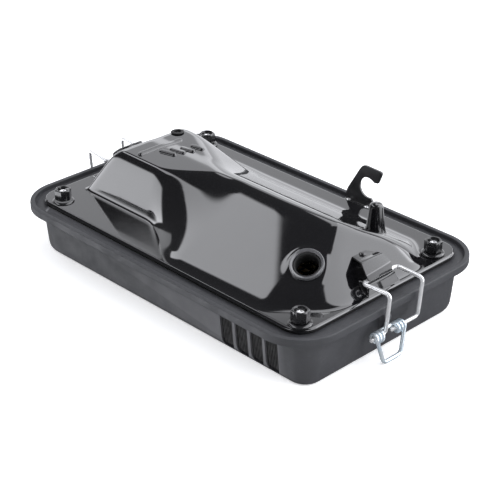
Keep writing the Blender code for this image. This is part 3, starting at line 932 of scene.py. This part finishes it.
def build_bracket():
    """Sheet hook with its foot and two rivets."""
    cx, cz = HOOK_EYE
    r = HOOK_EYE_R
    left = soften([(20.0, 31.0), (20.0, 38.0), (31.6, 57.6), (33.4, 60.0), (36.0, 61.0),
                   (50.2, 60.6), (50.6, 59.0), (47.6, 51.6), (46.4, 51.4)],
                  [4.0, 2.5, 2.0, 2.0, 1.2, 1.2, 0.8], 5)
    outline = [tuple(p) for p in left]
    steps = 36
    first, last = 48.0, 282.0
    for i in range(steps + 1):
        a = math.radians(first + (last - first) * i / steps)
        outline.append((cx + r * math.cos(a), cz + r * math.sin(a)))
    outline += [tuple(p) for p in soften([(42.0, 38.6), (44.0, 35.4), (44.0, 31.0)], 1.5, 4)]
    upright = plate(outline, BRACKET_Y - BRACKET_SHEET / 2, BRACKET_Y + BRACKET_SHEET / 2)
    add_piece("hose_hook", upright, MATS["bracket_steel"], "tray", ("hook_bracket",), bevel=0.22)
    foot = plate(soften_loop([(20.0, 73.4), (44.0, 73.4), (44.0, 78.6), (20.0, 78.6)],
                             [2.2, 2.2, 0.3, 0.3], 5), 30.9, 32.2, "Z")
    add_piece("hose_hook_foot", foot, MATS["bracket_steel"], "tray", bevel=0.2)
    for i in (1, 2):
        at = node_centre("bracket_rivet_%d" % i)
        head = soften([(0.0, 28.6), (0.95, 28.7), (0.95, 32.3), (1.7, 32.3), (1.6, 32.9),
                       (0.9, 33.4), (0.0, 33.5)], 0.2, 4)
        add_piece("hook_rivet_%d" % i, shift(lathe(head, 32), (at.x, at.y, 0)),
                  MATS["bright_steel"], "tray", ("bracket_rivet_%d" % i,))


# ---------------------------------------------------------------- latches

def clip_part():
    """Bent sheet that traps the bar of the bail."""
    line = soften([(101.4, 50.8), (112.6, 52.4), (118.6, 47.6), (120.7, 43.4)], [1.4, 1.4], 6)
    line = [np.array(p) for p in line]
    total = [0.0]
    for a, b in zip(line, line[1:]):
        total.append(total[-1] + np.linalg.norm(b - a))
    rings = []
    for i, p in enumerate(line):
        ahead = line[min(i + 1, len(line) - 1)] - line[max(i - 1, 0)]
        out = np.array((-ahead[1], ahead[0])) / np.linalg.norm(ahead)
        share = total[i] / total[-1]
        spread = smooth((share - 0.1) / 0.75)
        trim = 1.6 * (1 - min(total[i] / 1.8, 1.0)) ** 2
        trim += 1.2 * (1 - min((total[-1] - total[i]) / 1.4, 1.0)) ** 2
        y0 = -8.6 - 4.6 * spread + trim
        y1 = 6.4 + 3.0 * spread - trim
        low = p - out * CLIP_SHEET
        corners = ((y0, low), (y1, low), (y1, p), (y0, p))
        rings.append([(at[0], y, at[1]) for y, at in corners])
    return skin(rings)


def flip(part, side):
    return part if side == "right" else half_turn(part)


def bail_path():
    """Open wire from the far end of the pivot bar, over the clip, to its near end."""
    bx, bz = BAR_AT
    cx, cz = COIL_AT
    far = [(cx, -10.4, cz), (cx, 13.6, cz), (cx + 2.4, 13.6, 43.6), (bx, 15.6, bz)]
    near = [(bx, -15.6, bz), (cx + 2.4, -15.6, 43.6), (cx, -15.6, cz), (cx, -28.4, cz)]
    return soften(far + near, 3.6, 10)


def coil(y0, y1, start, end, steps=36):
    """Turns of wire about the pivot bar, between two angles in degrees."""
    count = int(abs(end - start) / 360.0 * steps)
    cx, cz = COIL_AT
    pts = []
    for i in range(count + 1):
        t = i / count
        a = math.radians(start + (end - start) * t)
        pts.append((cx + COIL_R * math.cos(a), y0 + (y1 - y0) * t, cz + COIL_R * math.sin(a)))
    return pts


def lever_path():
    """One closed wire: pivot bar, near coil, finger loop, far coil."""
    cx, cz = COIL_AT
    start = 140.0
    end = start - 360.0 * COIL_TURNS - 134.0
    reach = COIL_PITCH * (start - end) / 360.0
    near = coil(-19.6, -19.6 - reach, start, end)
    far = coil(-7.6, -7.6 + reach, start, end)
    foot = soften([near[-1], (cx + 4.7, -21.6, cz - 16.0), (cx + 4.7, -6.4, cz - 16.0), far[-1]],
                  3.2, 10)
    bar = np.linspace(far[0], near[0], 8)[1:-1]
    return near + list(foot[1:-1]) + list(reversed(far)) + list(bar)


def build_latch(side):
    """Bail, lever, clip and rivet of one latch."""
    add_piece("wire_bail_" + side, flip(tube(bail_path(), WIRE_R, 20), side), MATS["bright_steel"],
              "bail_" + side, ("bail_" + side,), sharp=60.0)
    add_piece("wire_lever_" + side, flip(tube(lever_path(), WIRE_R, 18, wrap=True), side),
              MATS["zinc_steel"], "lever_" + side, ("lever_" + side,), sharp=60.0)
    add_piece("bail_clip_" + side, flip(clip_part(), side), MATS["clip_steel"], "cover",
              ("hinge_clip_" + side,), bevel=0.3, sharp=50.0)
    head = soften([(0.0, 45.8), (1.0, 45.8), (1.0, 51.3), (2.3, 51.3), (2.2, 51.9), (1.2, 52.5),
                   (0.0, 52.5)], 0.25, 4)
    rivet = shift(lathe(head, 32), (104.6, -1.0, 0))
    add_piece("bail_clip_rivet_" + side, flip(rivet, side), MATS["clip_steel"], "cover",
              ("clip_rivet_" + side,))


# ---------------------------------------------------------------- filter element

def build_filter():
    """Frame, pleats, pre-filter pad and support screen."""
    ring = soften([(107.0, 56.0, 0.8, 8.5), (119.0, 68.2, 9.4, 8.3), (119.6, 68.8, 10.0, 9.2),
                   (119.6, 68.8, 10.0, 25.2), (119.0, 68.2, 9.4, 26.0), (113.5, 62.5, 5.0, 26.0),
                   (112.5, 61.5, 4.6, 25.3), (111.5, 60.5, 4.2, 26.0), (107.2, 56.2, 1.0, 26.0),
                   (107.0, 56.0, 0.8, 25.4), (107.0, 56.0, 0.8, 8.9)], 0.7, 4)
    add_piece("filter_surround", loft(ring, 10, wrap=True), MATS["filter_rubber"], "filter",
              ("filter_frame",))
    line = []
    for i in range(2 * FOLDS + 1):
        line.append((-FOLDED_HALF + 2 * FOLDED_HALF * i / (2 * FOLDS), 10.6 if i % 2 else 23.9))
    line = [tuple(p) for p in soften(line, 1.3, 3)]
    folded = [(x, z + PAPER_HALF) for x, z in line]
    folded += [(x, z - PAPER_HALF) for x, z in reversed(line)]
    add_piece("pleated_paper", plate(folded, -55.4, 55.4), MATS["filter_paper"], "filter",
              ("filter_pleats",), sharp=60.0)
    pad = soften([(113.0, 62.0, 5.0, 5.0), (113.6, 62.6, 5.4, 5.4), (113.6, 62.6, 5.4, 7.6),
                  (113.0, 62.0, 5.0, 8.0)], 0.4, 3)
    add_piece("foam_pad", loft(pad, 8), MATS["foam"], "filter", ("foam_prefilter",))
    low, high = SCREEN_LEVELS
    cross = loft([(SCREEN_BAR, 55.0, 0.3, low), (SCREEN_BAR, 55.0, 0.3, high)], 2)
    along = loft([(106.0, SCREEN_BAR, 0.3, low + 0.05), (106.0, SCREEN_BAR, 0.3, high - 0.05)], 2)
    bars = [shift(cross, (-102.0 + SCREEN_PITCH * i, 0, 0)) for i in range(35)]
    bars += [shift(along, (0, -51.0 + SCREEN_PITCH * j, 0)) for j in range(18)]
    border = loft([(106.6, 55.6, 4.0, low), (106.6, 55.6, 4.0, high), (104.4, 53.4, 2.4, high),
                   (104.4, 53.4, 2.4, low)], 6, wrap=True)
    add_piece("support_screen", merge(border, *bars), MATS["screen_steel"], "filter",
              ("filter_screen",))


def build_carried_nodes():
    """CAD nodes that stay as they are and only take a finish."""
    for name, finish in (("clamp_frame", "clip_steel"), ("rim_seal", "seal_rubber")):
        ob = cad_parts[name]
        ob.data.materials.clear()
        ob.data.materials.append(MATS[finish])
        mod = ob.modifiers.new("soft_edges", "BEVEL")
        mod.width = 0.25 * MM
        mod.segments = 2
        mod.limit_method = "ANGLE"


# ---------------------------------------------------------------- stage, light and camera

class Sky:
    """World shader built from soft-edged light panels round the object."""

    def __init__(self):
        self.world = bpy.data.worlds.new("studio")
        self.world.use_nodes = True
        self.tree = self.world.node_tree
        self.tree.nodes.clear()
        bearing = self.tree.nodes.new("ShaderNodeTexCoord").outputs["Generated"]
        right = (math.cos(CAMERA_BEARING), math.sin(CAMERA_BEARING), 0.0)
        away = (-math.sin(CAMERA_BEARING), math.cos(CAMERA_BEARING), 0.0)
        self.right = self.dot(bearing, right)
        self.away = self.dot(bearing, away)
        self.up = self.dot(bearing, (0.0, 0.0, 1.0))
        self.total = None

    def node(self, kind, operation=None):
        made = self.tree.nodes.new("ShaderNode" + kind)
        if operation:
            made.operation = operation
        return made

    def dot(self, source, axis):
        made = self.node("VectorMath", "DOT_PRODUCT")
        self.tree.links.new(source, made.inputs[0])
        made.inputs[1].default_value = axis
        return made.outputs["Value"]

    def math(self, operation, a, b=None):
        made = self.node("Math", operation)
        for value, slot in zip((a, b), made.inputs):
            if value is None:
                continue
            if isinstance(value, (int, float)):
                slot.default_value = value
            else:
                self.tree.links.new(value, slot)
        return made.outputs[0]

    def ramp(self, value, low, high):
        made = self.node("MapRange")
        made.interpolation_type = "SMOOTHSTEP"
        made.inputs["From Min"].default_value = low
        made.inputs["From Max"].default_value = high
        self.tree.links.new(value, made.inputs["Value"])
        return made.outputs["Result"]

    def band(self, value, low, high, soft):
        return self.math("MULTIPLY", self.ramp(value, low - soft, low + soft),
                         self.ramp(value, high + soft, high - soft))

    def facing(self, depth, value):
        """Position on a wall square to the depth direction."""
        return self.math("DIVIDE", value, self.math("MAXIMUM", depth, 0.05))

    def panel(self, depth, across, upward, span_across, span_up, power, soft=0.04):
        """Adds a rectangular panel on the wall that depth points to."""
        a = self.band(self.facing(depth, across), *span_across, soft)
        b = self.band(self.facing(depth, upward), *span_up, soft)
        here = self.math("MULTIPLY", self.math("MULTIPLY", a, b), self.ramp(depth, 0.0, 0.1))
        self.add(self.math("MULTIPLY", here, power))

    def add(self, value):
        self.total = value if self.total is None else self.math("ADD", self.total, value)

    def finish(self):
        """Ambient light for every ray, a soft fill that only matt surfaces take, and a
        white background for the camera."""
        rays = self.node("LightPath")
        self.add(AMBIENT)
        self.add(self.math("MULTIPLY", rays.outputs["Is Diffuse Ray"], MATT_FILL))
        glow = self.node("Background")
        glow.inputs["Color"].default_value = GLOW_TINT
        self.tree.links.new(self.total, glow.inputs["Strength"])
        seen = self.node("Background")
        seen.inputs["Color"].default_value = (1.0, 1.0, 1.0, 1.0)
        mix = self.node("MixShader")
        out = self.node("OutputWorld")
        self.tree.links.new(rays.outputs["Is Camera Ray"], mix.inputs["Fac"])
        self.tree.links.new(glow.outputs[0], mix.inputs[1])
        self.tree.links.new(seen.outputs[0], mix.inputs[2])
        self.tree.links.new(mix.outputs[0], out.inputs["Surface"])
        bpy.context.scene.world = self.world


def build_sky():
    sky = Sky()
    walls = {
        "ceiling": (sky.up, sky.right, sky.away),
        "left": (sky.math("MULTIPLY", sky.right, -1.0), sky.away, sky.up),
        "far": (sky.away, sky.right, sky.up),
        "right": (sky.right, sky.away, sky.up),
    }
    for wall, across, upward, power in LIGHTS.values():
        sky.panel(*walls[wall], across, upward, power)
    sky.finish()


def build_floor():
    me = bpy.data.meshes.new("floor")
    size = FLOOR_HALF
    me.from_pydata([(-size, -size, 0), (size, -size, 0), (size, size, 0), (-size, size, 0)], [],
                   [(0, 1, 2, 3)])
    floor = bpy.data.objects.new("floor", me)
    floor.location.z = -FLOOR_DROP * MM
    bpy.context.scene.collection.objects.link(floor)
    s = Shader("floor_paper", (0.9, 0.9, 0.9), rough=0.9)
    s.tint(s.noise(3, 2), (0.93, 0.93, 0.93))
    s.set("Emission Color", (1.0, 1.0, 1.0, 1.0))
    s.set("Emission Strength", FLOOR_GLOW)
    me.materials.append(s.mat)
    floor.visible_glossy = False


def build_camera():
    camera = bpy.data.cameras.new("camera")
    camera.lens = CAMERA_LENS
    camera.sensor_width = 36.0
    camera.clip_start = 0.01
    camera.clip_end = 100.0
    ob = bpy.data.objects.new("camera", camera)
    bpy.context.scene.collection.objects.link(ob)
    flat = math.cos(CAMERA_HEIGHT)
    back = Vector((math.sin(CAMERA_BEARING) * flat, -math.cos(CAMERA_BEARING) * flat,
                   math.sin(CAMERA_HEIGHT)))
    turn = (-back).to_track_quat("-Z", "Y").to_matrix().to_4x4()
    ob.matrix_world = Matrix.Translation(CAMERA_AT) @ turn @ Matrix.Rotation(CAMERA_ROLL, 4, "Z")
    bpy.context.scene.camera = ob
    bpy.context.scene.view_settings.view_transform = "Standard"


build_cover()
build_ribs()
build_cover_fittings()
build_tray()
for place in STUDS:
    build_fastener(place)
build_bracket()
build_latch("right")
build_latch("left")
build_filter()
build_carried_nodes()
build_sky()
build_floor()
build_camera()
